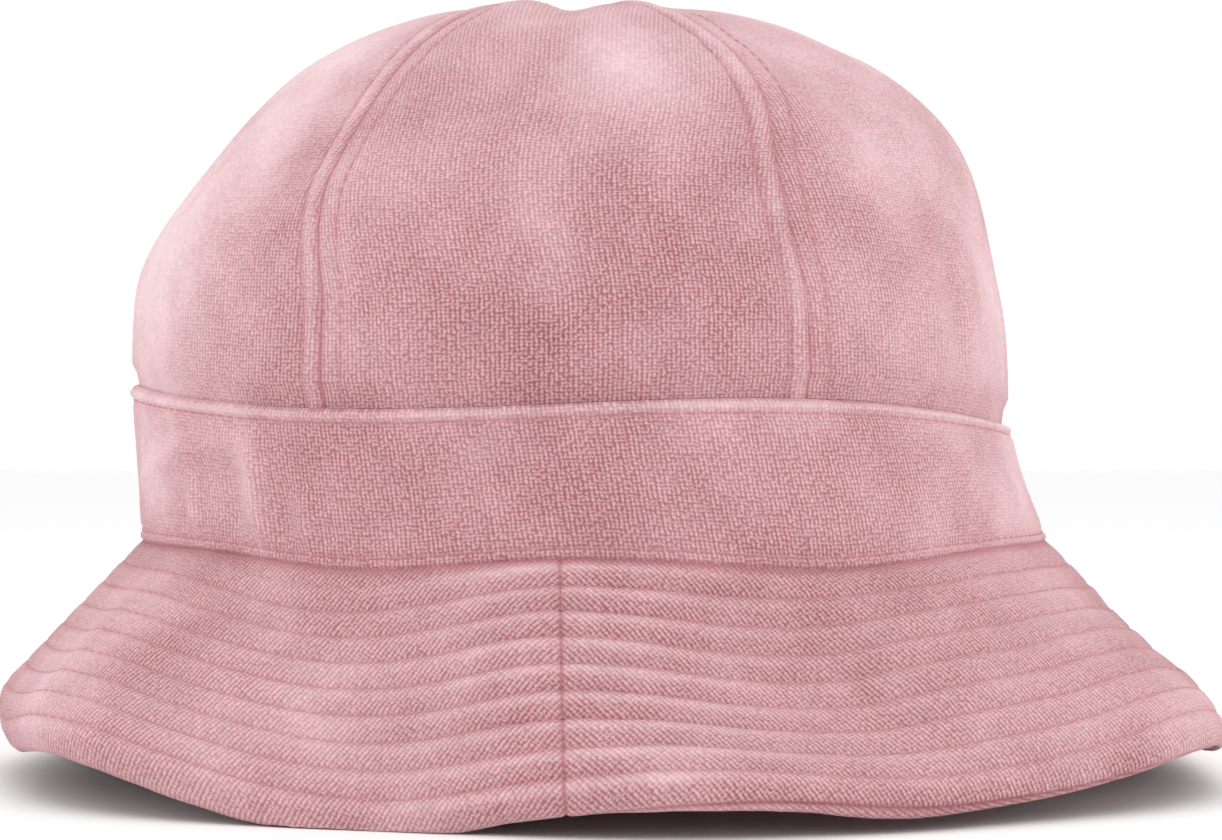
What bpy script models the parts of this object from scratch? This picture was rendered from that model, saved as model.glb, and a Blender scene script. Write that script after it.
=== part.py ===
"""Bucket hat: a six-panel crown, a side band and a wide brim quilted in rings.

Metres, +Z up, standing on a table on the lower edge of its brim. The origin is on the table below the
middle of the hat, and the front faces -Y. Angles go round the hat from the front towards +X.
"""

import math

import bmesh
import bpy
import numpy as np

# Seam between band and brim: an oval for a 58 cm head, wavy in height
SEAM_HALF_WIDTH = 0.0920
SEAM_HALF_LENGTH = 0.0990
SEAM_HEIGHT = 0.0461
SEAM_DIPS = [(-27, 16, -0.0028), (28, 18, -0.0028), (153, 18, -0.0028), (-153, 18, -0.0028)]

# Band: its top edge is a little narrower, and not quite level
BAND_TOP_HALF_WIDTH = 0.0893
BAND_TOP_HALF_LENGTH = 0.0960
BAND_TOP_HEIGHT = 0.0730
BAND_TOP_TILT = -0.0021
BAND_TOP_WAVE = 0.0020
BAND_WAVE_COUNT = 3

# Crown: a dome with a blunt top, whose six panels meet in the middle
CROWN_RISE = 0.0814
CROWN_SQUARENESS = 2.5
CROWN_TUCK = 0.27  # how far the panels go down behind the band, as a share of its height
CROWN_TIP_RADIUS = 0.0025
PANEL_COUNT = 6
SEAM_TWIST = 5.0  # degrees that the panel seams lean to -X near the top
SEAM_TWIST_WAVES = [(-30, 20, 2.5)]  # more at the front left seam
SEAM_TWIST_FROM = 0.0900
SEAM_TWIST_TO = 0.1237

# Sideways lean of the hat's middle at some heights, as a soft hat stands
LEAN_HEIGHTS = [0.0459, 0.0729, 0.0959, 0.1309, 0.1559]
LEAN_SHIFTS = [-0.0034, -0.0083, -0.0084, -0.0026, -0.0046]

# Brim: its slope below the horizontal changes round the hat (centre, width and amount in degrees)
BRIM_WIDTH = 0.0510
BRIM_SLOPE = 46.5
BRIM_WAVES = [
    (-148, 24, 6.5),
    (-82, 18, -3.0),
    (-52, 13, -8.0),
    (-18, 15, 10.5),
    (8, 10, -2.0),
    (57, 13, -8.0),
    (85, 16, -1.5),
    (140, 26, 7.5),
]
# how much steeper it is beside the band than halfway, and flatter near the edge
BRIM_BENDS = [(-40, 16, 2.5), (-7, 8, -7.5), (16, 12, 17.5), (34, 12, -8.0), (88, 18, 4.0)]
EDGE_DROOP = 28.0  # extra slope that the brim gains towards its edge
EDGE_DROOP_WAVES = [(-86, 34, 42.0), (90, 26, 40.0), (52, 14, -20.0)]
EDGE_DROOP_START = 0.84  # share of the width where the droop starts
EDGE_DROOP_START_WAVES = [(-86, 34, -0.10), (90, 26, -0.16)]
EDGE_RADIUS = 0.0022
EDGE_SEAM = 110.0  # where round the rolled edge the upper cloth meets the under cloth
EDGE_SEAM_WAVES = [(24, 24, -78.0)]
BRIM_SEAM_ANGLE = -3.5  # the brim's front seam, with its back seam opposite
UNDER_INNER_EDGE = 0.05  # as shares of the brim's width
LINING_INNER_EDGE = 0.02
LINING_OUTER_EDGE = 0.95

# Cloth and thread
TERRY = 0.0013
INTERLINING = 0.0008
SWEATBAND = 0.0008
TAPE = 0.0005
LABEL = 0.0004
THREAD_RADIUS = 0.0003
GAP = 0.00035  # between layers that touch
BRIM_SEAM_GAP = 0.0010  # between the brim's halves, whose cloth bends at the seam
EDGE_SEAM_GAP = 0.0011  # round the rolled edge, where the cloth's inner side is much the shorter
STITCH_ROWS = 8  # quilting rings, at distances from the band
FIRST_ROW = 0.0060
LAST_ROW = 0.0465
ROW_DRIFT = [(-34, 18, 0.0031)]  # the first ring runs further out at the front left
LAST_ROW_DRIFT = -0.3  # the last ring's share of that
EDGE_STITCH_INSET = 0.08  # of the band's height
BAND_BOTTOM = 0.015
TOPSTITCH_OFFSET = 0.0045  # each side of a crown seam
TOPSTITCH_START = 0.03  # as a way up the crown
TOPSTITCH_END_RADIUS = 0.0130
TAPE_HALF_WIDTH = 0.0060
TAPE_START = 0.02
TAPE_END_RADIUS = 0.0150
SWEATBAND_BOTTOM = -0.08  # of the band's height
SWEATBAND_TOP = 0.96
SWEATBAND_JOIN = 90.0
LABEL_HALF_ANGLE = 7.5
LABEL_BOTTOM = 0.25
LABEL_TOP = 0.75

# Mesh density
ROUND_STEPS = 48
PROFILE_STEPS = 16
CROWN_ROWS = [0, 0.12, 0.24, 0.36, 0.5, 0.64, 0.78, 0.9]
BAND_ROWS = [BAND_BOTTOM, 0.5, 1]
UPPER_EDGE_ROWS = [2, 1.95, 1.5, 1]  # from the edge seam back to the top
UNDER_EDGE_ROWS = [1, 0.5, 0.05, 0]  # from the underside round to the edge seam

PINK = (0.62, 0.33, 0.35, 1)
PALE_PINK = (0.68, 0.42, 0.43, 1)
CREAM = (0.80, 0.76, 0.70, 1)


def bump(angle, centre, width):
    """1 at a centre angle, falling smoothly to 0 a width or two away; centre and width in degrees."""
    away = (angle - math.radians(centre) + math.pi) % (2 * math.pi) - math.pi
    return np.exp(-((away / math.radians(width)) ** 2))


def waves(angle, base, bumps):
    """A base value with bumps at some angles round the hat."""
    return base + sum(amount * bump(angle, centre, width) for centre, width, amount in bumps)


def ease(value, start, end):
    """Rises smoothly from 0 at start to 1 at end."""
    share = np.clip((value - start) / (end - start), 0, 1)
    return share * share * (3 - 2 * share)


def lean(height):
    """Sideways place of the hat's middle at a height, eased from each stated height to the next."""
    shift = np.full(np.shape(height), LEAN_SHIFTS[0], float)
    for i in range(len(LEAN_SHIFTS) - 1):
        change = LEAN_SHIFTS[i + 1] - LEAN_SHIFTS[i]
        shift = shift + change * ease(height, LEAN_HEIGHTS[i], LEAN_HEIGHTS[i + 1])
    return shift


def seam_height(angle):
    """Height of the seam between band and brim."""
    return waves(angle, SEAM_HEIGHT, SEAM_DIPS)


def band_top(angle):
    """Height of the band's top edge."""
    wave = BAND_TOP_WAVE * np.sin(BAND_WAVE_COUNT * angle)
    return BAND_TOP_HEIGHT + BAND_TOP_TILT * np.sin(angle) + wave


def band_point(angle, rise, depth=0.0):
    """On the band: rise is 0 at the brim seam and 1 at the top edge, depth is inwards from its skin."""
    half_width = SEAM_HALF_WIDTH + (BAND_TOP_HALF_WIDTH - SEAM_HALF_WIDTH) * rise - depth
    half_length = SEAM_HALF_LENGTH + (BAND_TOP_HALF_LENGTH - SEAM_HALF_LENGTH) * rise - depth
    low, high = lean(SEAM_HEIGHT), lean(BAND_TOP_HEIGHT)
    x = half_width * np.sin(angle) + low + (high - low) * rise
    y = -half_length * np.cos(angle)
    z = seam_height(angle) * (1 - rise) + band_top(angle) * rise
    return np.stack([x, y, z], axis=-1)


def crown_share(way):
    """Share of the crown's full width at a way up it, where 0 is the band's top edge and 1 the top."""
    return np.cos(np.clip(way, 0, 1) * math.pi / 2) ** (2 / CROWN_SQUARENESS)


def crown_radius(way):
    """Mean radius of the crown at a way up it."""
    return crown_share(way) * (BAND_TOP_HALF_WIDTH + BAND_TOP_HALF_LENGTH) / 2


def crown_way(radius):
    """The way up the crown where its mean radius is a given one."""
    share = radius / crown_radius(0)
    return math.acos(share ** (CROWN_SQUARENESS / 2)) * 2 / math.pi


def crown_point(angle, way):
    """On the crown's skin. A way below 0 is the tuck behind the band, as a share of its height."""
    inset = TERRY + GAP
    rise = np.sin(np.clip(way, 0, 1) * math.pi / 2) ** (2 / CROWN_SQUARENESS)
    z = band_top(angle) * (1 - rise) + (BAND_TOP_HEIGHT + CROWN_RISE) * rise
    twist = np.radians(waves(angle, SEAM_TWIST * np.cos(angle), SEAM_TWIST_WAVES))
    turned = angle - twist * ease(z, SEAM_TWIST_FROM, SEAM_TWIST_TO)
    x = (BAND_TOP_HALF_WIDTH - inset) * crown_share(way) * np.sin(turned) + lean(z)
    y = -(BAND_TOP_HALF_LENGTH - inset) * crown_share(way) * np.cos(turned)
    dome = np.stack([x, y, z], axis=-1)
    tuck = band_point(angle, 1 + np.minimum(way, 0), inset)
    return np.where(np.asarray(way)[..., None] < 0, tuck, dome)


def below(surface, angle, way, depth):
    """A point under a surface's skin, measured along its normal; a negative depth stands proud."""
    step = 1e-4
    across = surface(angle + step, way) - surface(angle - step, way)
    along = surface(angle, way + step) - surface(angle, way - step)
    normal = np.cross(across, along)
    normal /= np.linalg.norm(normal, axis=-1, keepdims=True)
    return surface(angle, way) - depth * normal


def brim_slope(angle, along):
    """Slope of the brim below the horizontal, in radians, at a distance from the band."""
    droop = waves(angle, EDGE_DROOP, EDGE_DROOP_WAVES)
    start = waves(angle, EDGE_DROOP_START, EDGE_DROOP_START_WAVES)
    bend = waves(angle, 0, BRIM_BENDS) * np.cos(math.pi * along / BRIM_WIDTH)
    slope = waves(angle, BRIM_SLOPE, BRIM_WAVES) + bend + droop * ease(along / BRIM_WIDTH, start, 1)
    return np.radians(slope)


def brim_profile(angle, along):
    """How far out and down the brim has run at a distance from the band, and its slope there."""
    run = drop = 0
    for step in range(PROFILE_STEPS):
        slope = brim_slope(angle, along * (step + 0.5) / PROFILE_STEPS)
        run = run + np.cos(slope) * along / PROFILE_STEPS
        drop = drop + np.sin(slope) * along / PROFILE_STEPS
    return run, drop, brim_slope(angle, along)


def brim_point(angle, way, depth=0.0):
    """On the brim. The way goes out over the top, round the rolled edge and back underneath."""
    roll = np.clip((way - BRIM_WIDTH) / EDGE_RADIUS, 0, math.pi)
    back = np.maximum(way - BRIM_WIDTH - math.pi * EDGE_RADIUS, 0)
    along = np.minimum(way, BRIM_WIDTH) - back
    run, drop, slope = brim_profile(angle, along)
    core = EDGE_RADIUS - depth
    run = run - EDGE_RADIUS * np.sin(slope) + core * np.sin(slope + roll)
    drop = drop + EDGE_RADIUS * np.cos(slope) - core * np.cos(slope + roll)
    out_x = np.sin(angle) / SEAM_HALF_WIDTH
    out_y = -np.cos(angle) / SEAM_HALF_LENGTH
    size = np.hypot(out_x, out_y)
    shift = lean(SEAM_HEIGHT) * (1 - along / BRIM_WIDTH)
    x = SEAM_HALF_WIDTH * np.sin(angle) + shift + run * out_x / size
    y = -SEAM_HALF_LENGTH * np.cos(angle) + run * out_y / size
    z = np.maximum(seam_height(angle) - drop, 0)  # the lowest parts of the edge lie flat on the table
    return np.stack([x, y, z], axis=-1)


def drifted(angle, along):
    """A distance from the band, moved as the quilting rings are where they stray from level."""
    share = np.interp(along, [0, FIRST_ROW, LAST_ROW, BRIM_WIDTH], [0, 1, LAST_ROW_DRIFT, 0])
    return along + share * waves(angle, 0, ROW_DRIFT)


def edge_seam(angle):
    """Angle round the rolled edge, in radians, where the upper and under cloth meet."""
    return np.radians(waves(angle, EDGE_SEAM, EDGE_SEAM_WAVES))


def upper_brim(angle, row):
    """Upper cloth: row 0 to 1 goes over the top, 1 to 2 round the edge to the seam."""
    round_edge = EDGE_RADIUS * edge_seam(angle) * np.maximum(row - 1, 0)
    return brim_point(angle, drifted(angle, BRIM_WIDTH * np.minimum(row, 1)) + round_edge)


def under_brim(angle, row):
    """Under cloth: row 0 to 1 goes round the edge from the seam, 1 to 2 back underneath."""
    start = edge_seam(angle) + EDGE_SEAM_GAP / EDGE_RADIUS
    roll = start + (math.pi - start) * np.minimum(row, 1)
    along = drifted(angle, BRIM_WIDTH * (1 - np.maximum(row - 1, 0)))
    return brim_point(angle, 2 * BRIM_WIDTH + EDGE_RADIUS * roll - along)


def interlining(angle, row):
    """Stiff inner layer between the upper and under cloth, row 0 to 1 over its width."""
    return brim_point(angle, drifted(angle, BRIM_WIDTH * row), TERRY + GAP)


def make_material(name, colour, roughness):
    """A plain cloth material."""
    material = bpy.data.materials.new(name)
    material.use_nodes = True
    shader = material.node_tree.nodes["Principled BSDF"]
    shader.inputs["Base Color"].default_value = colour
    shader.inputs["Roughness"].default_value = roughness
    shader.inputs["Metallic"].default_value = 0.0
    material.diffuse_color = colour
    return material


def add_piece(name, data, material):
    """Puts a named piece into the hat's collection, under its empty."""
    piece = bpy.data.objects.new(name, data)
    piece.parent = bpy.data.objects["hat_axis"]
    bpy.data.collections["bucket_hat"].objects.link(piece)
    data.materials.append(material)
    return piece


def add_sheet(name, material, angles, rows, surface, thickness):
    """A piece of cloth: a grid laid on a surface of angle and row, and thickened inwards.

    Each square is split along a fixed diagonal, so that layers that lie on each other fold alike.
    """
    angles, rows = np.asarray(angles, float), np.asarray(rows, float)
    shape = bmesh.new()
    bmesh.ops.create_grid(shape, x_segments=len(angles) - 1, y_segments=len(rows) - 1, size=0.5)
    flat = np.array([vert.co for vert in shape.verts])
    column = np.rint((flat[:, 0] + 0.5) * (len(angles) - 1)).astype(int)
    line = np.rint((flat[:, 1] + 0.5) * (len(rows) - 1)).astype(int)
    for vert, point in zip(shape.verts, surface(angles[column], rows[line])):
        vert.co = point
    mesh = bpy.data.meshes.new(name)
    shape.to_mesh(mesh)
    shape.free()
    mesh.shade_smooth()
    piece = add_piece(name, mesh, material)
    piece.modifiers.new("Triangles", "TRIANGULATE").quad_method = "FIXED"
    thick = piece.modifiers.new("Thickness", "SOLIDIFY")
    thick.thickness = thickness
    thick.offset = -1
    thick.use_even_offset = True
    return piece


def add_thread(name, material, points, closed=False):
    """Sewing thread along a line of points."""
    curve = bpy.data.curves.new(name, "CURVE")
    curve.dimensions = "3D"
    curve.bevel_depth = THREAD_RADIUS
    curve.bevel_resolution = 0
    curve.use_fill_caps = True
    spline = curve.splines.new("POLY")
    spline.points.add(len(points) - 1)
    for spot, point in zip(spline.points, points):
        spot.co = (*point, 1)
    spline.use_cyclic_u = closed
    return add_piece(name, curve, material)


def round_angles(start, end):
    """Angles from start to end, in degrees, at the mesh's density."""
    steps = round((end - start) * ROUND_STEPS / 360)
    return np.radians(np.linspace(start, end, steps + 1))


def strip_angles(join):
    """Angles once round the hat for a strip whose ends meet at the join, in degrees."""
    half_gap = math.degrees(GAP / 2 / SEAM_HALF_WIDTH)
    return round_angles(join - 360 + half_gap, join - half_gap)


def panel_names():
    """The crown's panels in order round the hat, from the front."""
    return ["front", "front_right", "back_right", "back", "back_left", "front_left"]


def make_crown(cloth, tape, thread):
    """Six panels, the tape inside each seam and the double topstitching outside it."""
    panel = 360 / PANEL_COUNT
    tip = crown_way(CROWN_TIP_RADIUS)
    steps = round(ROUND_STEPS / PANEL_COUNT)
    for i, name in enumerate(panel_names()):
        centre = math.radians(i * panel)

        def laid(share, way, centre=centre):
            half = math.radians(panel / 2) - GAP / 2 / crown_radius(way)
            return crown_point(centre + share * half, way)

        ways = [-CROWN_TUCK, *CROWN_ROWS, tip]
        add_sheet(f"crown_panel_{name}", cloth, np.linspace(-1, 1, steps + 1), ways, laid, TERRY)
    for i, name in enumerate(panel_names()):
        make_crown_seam(name, math.radians((i + 0.5) * panel), tape, thread)


def make_crown_seam(name, seam, tape, thread):
    """The tape and the two rows of topstitching of the seam past the named panel, going round."""

    def taped(share, way):
        angle = seam + share * TAPE_HALF_WIDTH / crown_radius(way)
        return below(crown_point, angle, way, TERRY + 1.5 * GAP)

    tape_ways = np.array([TAPE_START, *CROWN_ROWS[1:], crown_way(TAPE_END_RADIUS)])
    add_sheet(f"seam_tape_{name}", tape, [-1, 0, 1], tape_ways, taped, TAPE)
    stitch_ways = np.array([TOPSTITCH_START, *CROWN_ROWS[1:], crown_way(TOPSTITCH_END_RADIUS)])
    for side, offset in (("near", -TOPSTITCH_OFFSET), ("far", TOPSTITCH_OFFSET)):
        angles = seam + offset / crown_radius(stitch_ways)
        points = below(crown_point, angles, stitch_ways, -GAP - THREAD_RADIUS)
        add_thread(f"crown_topstitch_{name}_{side}", thread, points)


def make_band(cloth, thread):
    """The side band, closed by a seam at the back, and the stitching along its two edges."""
    angles = strip_angles(180)
    add_sheet("side_band", cloth, angles, BAND_ROWS, band_point, TERRY)
    ring = angles[:-1]
    proud = -GAP - THREAD_RADIUS
    for name, rise in (("lower", EDGE_STITCH_INSET), ("upper", 1 - EDGE_STITCH_INSET)):
        add_thread(f"band_{name}_edge_stitch", thread, band_point(ring, rise, proud), closed=True)


def make_brim(cloth, lining, thread):
    """Upper cloth, interlining and under cloth in two halves each, and the quilting rings."""
    half_gap = math.degrees(BRIM_SEAM_GAP / 2 / SEAM_HALF_WIDTH)
    halves = {"right": BRIM_SEAM_ANGLE, "left": BRIM_SEAM_ANGLE + 180}
    rings = np.linspace(FIRST_ROW, LAST_ROW, STITCH_ROWS)
    across = [*(ring / BRIM_WIDTH for ring in rings), LINING_OUTER_EDGE]
    for side, start in halves.items():
        angles = round_angles(start + half_gap, start + 180 - half_gap)
        upper_rows = [*UPPER_EDGE_ROWS, *across[::-1], 0]
        add_sheet(f"brim_upper_{side}", cloth, angles, upper_rows, upper_brim, TERRY)
        lining_rows = [*across[::-1], LINING_INNER_EDGE]
        add_sheet(f"brim_interlining_{side}", lining, angles, lining_rows, interlining, INTERLINING)
        under_rows = [2 - UNDER_INNER_EDGE, *(2 - share for share in across), *UNDER_EDGE_ROWS]
        under = add_sheet(f"brim_under_{side}", cloth, angles, under_rows, under_brim, TERRY)
        under.modifiers["Triangles"].quad_method = "FIXED_ALTERNATE"
    ring = round_angles(BRIM_SEAM_ANGLE, BRIM_SEAM_ANGLE + 360)[:-1]
    for k, way in enumerate(rings):
        points = brim_point(ring, drifted(ring, way), -GAP - THREAD_RADIUS)
        add_thread(f"brim_stitch_row_{k + 1}", thread, points, closed=True)


def make_sweatband(cloth, label):
    """The band that lies on the forehead, and a blank label sewn to it at the back."""
    depth = 2 * (TERRY + GAP)

    def lying(angle, rise):
        return band_point(angle, rise, depth)

    def labelled(angle, rise):
        return band_point(angle, rise, depth + SWEATBAND + GAP)

    rises = [SWEATBAND_BOTTOM, 0.4, SWEATBAND_TOP]
    add_sheet("sweatband", cloth, strip_angles(SWEATBAND_JOIN), rises, lying, SWEATBAND)
    label_angles = round_angles(180 - LABEL_HALF_ANGLE, 180 + LABEL_HALF_ANGLE)
    add_sheet("inside_label", label, label_angles, [LABEL_BOTTOM, LABEL_TOP], labelled, LABEL)


def main():
    """Clears the scene and builds the hat."""
    for old in list(bpy.data.objects):
        bpy.data.objects.remove(old)
    collection = bpy.data.collections.new("bucket_hat")
    bpy.context.scene.collection.children.link(collection)
    collection.objects.link(bpy.data.objects.new("hat_axis", None))
    terry = make_material("terry_cloth", PINK, 0.95)
    smooth_cloth = make_material("smooth_cotton", PALE_PINK, 0.85)
    lining = make_material("interlining", CREAM, 0.90)
    thread = make_material("thread", PINK, 0.60)
    label = make_material("label", CREAM, 0.70)
    make_crown(terry, smooth_cloth, thread)
    make_band(terry, thread)
    make_brim(terry, lining, thread)
    make_sweatband(smooth_cloth, label)


main()
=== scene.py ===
"""Looks of a soft terry bucket hat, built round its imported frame.

Every piece lies on the frame's own surfaces, which are repeated here as functions of an angle round the
hat (0 at the front, -Y, growing towards +X) and a way over the cloth, and gets its quilting, seams,
folds, stitches and weave on top of them.
"""

import functools
import itertools
import math

import bpy
import numpy as np
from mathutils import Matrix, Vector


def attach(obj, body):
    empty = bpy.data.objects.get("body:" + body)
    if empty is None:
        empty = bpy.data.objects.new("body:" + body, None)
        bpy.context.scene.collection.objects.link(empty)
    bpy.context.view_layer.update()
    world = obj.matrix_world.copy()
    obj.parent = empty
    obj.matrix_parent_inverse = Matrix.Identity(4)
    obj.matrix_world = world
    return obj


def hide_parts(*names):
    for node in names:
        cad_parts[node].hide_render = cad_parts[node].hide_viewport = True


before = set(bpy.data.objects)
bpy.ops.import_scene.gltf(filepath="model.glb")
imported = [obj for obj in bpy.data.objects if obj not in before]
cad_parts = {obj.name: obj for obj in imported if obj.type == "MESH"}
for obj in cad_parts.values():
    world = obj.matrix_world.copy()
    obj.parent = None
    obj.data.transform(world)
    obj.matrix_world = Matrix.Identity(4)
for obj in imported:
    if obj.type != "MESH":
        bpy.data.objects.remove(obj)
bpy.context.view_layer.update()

# ---- Surfaces of the frame, in metres and degrees ----
SEAM_HALF_WIDTH = 0.092
SEAM_HALF_LENGTH = 0.099
SEAM_HEIGHT = 0.0461
SEAM_DIPS = [(-27, 16, -0.0028), (28, 18, -0.0028), (153, 18, -0.0028), (-153, 18, -0.0028)]
BAND_TOP_HALF_WIDTH = 0.0893
BAND_TOP_HALF_LENGTH = 0.096
BAND_TOP_HEIGHT = 0.073
BAND_TOP_TILT = -0.0021
BAND_TOP_WAVE = 0.002
BAND_WAVE_COUNT = 3
CROWN_RISE = 0.0814
CROWN_SQUARENESS = 2.5
PANEL_COUNT = 6
HALF_PANEL = math.radians(180 / PANEL_COUNT)
SEAM_TWIST = 5.0
SEAM_TWIST_WAVES = [(-30, 20, 2.5)]
SEAM_TWIST_FROM = 0.09
SEAM_TWIST_TO = 0.1237
LEAN_HEIGHTS = [0.0459, 0.0729, 0.0959, 0.1309, 0.1559]
LEAN_SHIFTS = [-0.0034, -0.0083, -0.0084, -0.0026, -0.0046]
BRIM_WIDTH = 0.051
BRIM_SLOPE = 46.5
BRIM_WAVES = [
    (-148, 24, 6.5), (-82, 18, -3.0), (-52, 13, -8.0), (-18, 15, 10.5), (8, 10, -2.0), (57, 13, -8.0),
    (85, 16, -1.5), (140, 26, 7.5),
]
BRIM_BENDS = [(-40, 16, 2.5), (-7, 8, -7.5), (16, 12, 17.5), (34, 12, -8.0), (88, 18, 4.0)]
EDGE_DROOP = 28.0
EDGE_DROOP_WAVES = [(-86, 34, 42.0), (90, 26, 40.0), (52, 14, -20.0)]
EDGE_DROOP_START = 0.84
EDGE_DROOP_START_WAVES = [(-86, 34, -0.1), (90, 26, -0.16)]
EDGE_RADIUS = 0.0022
ROLL_LENGTH = math.pi * EDGE_RADIUS
EDGE_SEAM = 110.0
EDGE_SEAM_WAVES = [(24, 24, -78.0)]
BRIM_SEAM_ANGLE = -3.5
TERRY = 0.0013
SWEATBAND = 0.0008
GAP = 0.00035
STITCH_ROWS = 8
FIRST_ROW = 0.006
LAST_ROW = 0.0465
ROW_DRIFT = [(-34, 18, 0.0031)]
LAST_ROW_DRIFT = -0.3
SWEATBAND_BOTTOM = -0.08
SWEATBAND_TOP = 0.96
PROFILE_STEPS = 16  # steps in which the brim's slope is added up
RIM_STEPS = 6  # faces round a sheet's rounded rim

# ---- Cloth detail, in metres unless said ----
TOPSTITCH_OFFSET = 0.0045
TOPSTITCH_START = 0.02  # a way up the crown
TOPSTITCH_END_RADIUS = 0.0135
EDGE_STITCH_INSET = 0.0021
TAPE_HALF_WIDTH = 0.006
TAPE_START = 0.015  # a way up the crown
TAPE_END_RADIUS = 0.015
TAPE = 0.0004
INTERLINING = 0.0007
LABEL = 0.0004
LABEL_BOTTOM = 0.25  # these two are shares of the band's height
LABEL_TOP = 0.75
LABEL_HALF_WIDTH = 7.5  # in degrees
BAND_HEIGHT = 0.027
WALE = 0.00091
COURSE = 0.00068
STITCH_LENGTH = 0.0026
STITCH_PAUSE = 0.0006
STITCH_RADIUS = 0.00019
STITCH_SINK = 0.00012
STITCH_SECTIONS = 7
STITCH_SIDES = 6

# ---- How high each part's cloth runs, in degrees at its rim ----
SPREAD = {"crown": 75.0, "band": 16.4, "brim": 31.0}

# ---- Mesh sizes, in metres and degrees ----
CROWN_CELL = 0.0012
CROWN_ROWS = 96
CROWN_TIP_RADIUS = 0.0006
TUCK_BOTTOM = -0.25
TUCK_ROWS = 6
BAND_CELL = 0.0009
BAND_CELL_SHAPE = 1.4  # a cell's width over its height
BAND_WEAVE_RADIUS = 0.0955
SWEATBAND_RADIUS = 0.09
BRIM_CELL = 0.0015
BRIM_ROWS = 96
UNDER_BRIM_ROWS = 69
ROLL_ROWS = 10
TAPE_GRID = (13, 60)  # points across and along a sheet
INTERLINING_GRID = (45, 24)
SWEATBAND_GRID = (420, 34)
LABEL_GRID = (40, 24)
BRIM_OUTER_RADIUS = 0.125
BRIM_SEAM_COLUMNS = (0.0002, 0.0004, 0.0006, 0.0009, 0.0012)
BRIM_SEAM_GAP = 0.0001  # in radians, each side of the seam
EDGE_SEAM_GAP = 0.0001
UNDER_BRIM_INSET = 0.0022
SHARP_ANGLE = 60

# ---- Colours, linear ----
# Painted highlight on the loop tips and painted shade in the gaps between loops.
LIT_LOOP_TIP_PINK = (0.82, 0.5, 0.518)
SHADED_LOOP_GAP_PINK = (0.48, 0.13, 0.155)
# Pale pink of worn, flattened loops, also used for painted highlights.
WORN_AND_LIT_PINK = (0.73, 0.54, 0.568)
# Painted shade: seams, furrows and quilting grooves are darkened towards this deep pink.
CREASE_SHADE_PINK = (0.56, 0.2, 0.225)
THREAD_PINK = (0.66, 0.31, 0.335)
COTTON_PINK = (0.66, 0.4, 0.415)
CANVAS = (0.72, 0.67, 0.6)
LABEL_WHITE = (0.82, 0.79, 0.75)
SHEEN_TINT = (1.0, 0.84, 0.85, 1.0)


def wrap(angle):
    """An angle brought within half a turn of 0."""
    return (angle + math.pi) % (2 * math.pi) - math.pi


def bump(angle, centre, width):
    """1 at a centre angle, falling smoothly to 0 a width or two away; centre and width in degrees."""
    away = wrap(angle - math.radians(centre))
    return np.exp(-((away / math.radians(width)) ** 2))


def waves(angle, base, bumps):
    """A base value with bumps at some angles round the hat."""
    return base + sum(amount * bump(angle, centre, width) for centre, width, amount in bumps)


def ease(value, start, end):
    """Rises smoothly from 0 at start to 1 at end."""
    share = np.clip((value - start) / (end - start), 0, 1)
    return share * share * (3 - 2 * share)


def dip(distance, width):
    """1 on a line and falling smoothly to 0 at about twice the width from it."""
    return np.exp(-((distance / width) ** 2))


def lean(height):
    """Sideways place of the hat's middle at a height."""
    shift = np.full(np.shape(height), LEAN_SHIFTS[0], float)
    for i in range(len(LEAN_SHIFTS) - 1):
        change = LEAN_SHIFTS[i + 1] - LEAN_SHIFTS[i]
        shift = shift + change * ease(height, LEAN_HEIGHTS[i], LEAN_HEIGHTS[i + 1])
    return shift


def seam_height(angle):
    """Height of the seam between band and brim."""
    return waves(angle, SEAM_HEIGHT, SEAM_DIPS)


def band_top(angle):
    """Height of the band's top edge."""
    wave = BAND_TOP_WAVE * np.sin(BAND_WAVE_COUNT * angle)
    return BAND_TOP_HEIGHT + BAND_TOP_TILT * np.sin(angle) + wave


def band_base(angle, rise, depth=0.0):
    """The frame's band: rise is 0 at the brim seam and 1 at the top edge."""
    half_width = SEAM_HALF_WIDTH + (BAND_TOP_HALF_WIDTH - SEAM_HALF_WIDTH) * rise - depth
    half_length = SEAM_HALF_LENGTH + (BAND_TOP_HALF_LENGTH - SEAM_HALF_LENGTH) * rise - depth
    low, high = lean(SEAM_HEIGHT), lean(BAND_TOP_HEIGHT)
    x = half_width * np.sin(angle) + low + (high - low) * rise
    y = -half_length * np.cos(angle)
    z = seam_height(angle) * (1 - rise) + band_top(angle) * rise
    return np.stack(np.broadcast_arrays(x, y, z), axis=-1)


def crown_share(way):
    """Share of the crown's full width at a way up it, where 0 is the band's top edge and 1 the top."""
    return np.cos(np.clip(way, 0, 1) * math.pi / 2) ** (2 / CROWN_SQUARENESS)


def crown_radius(way):
    """Mean radius of the crown at a way up it."""
    return crown_share(way) * (BAND_TOP_HALF_WIDTH + BAND_TOP_HALF_LENGTH) / 2


def crown_way(radius):
    """The way up the crown where its mean radius is a given one."""
    share = radius / crown_radius(0)
    return math.acos(share ** (CROWN_SQUARENESS / 2)) * 2 / math.pi


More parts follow.
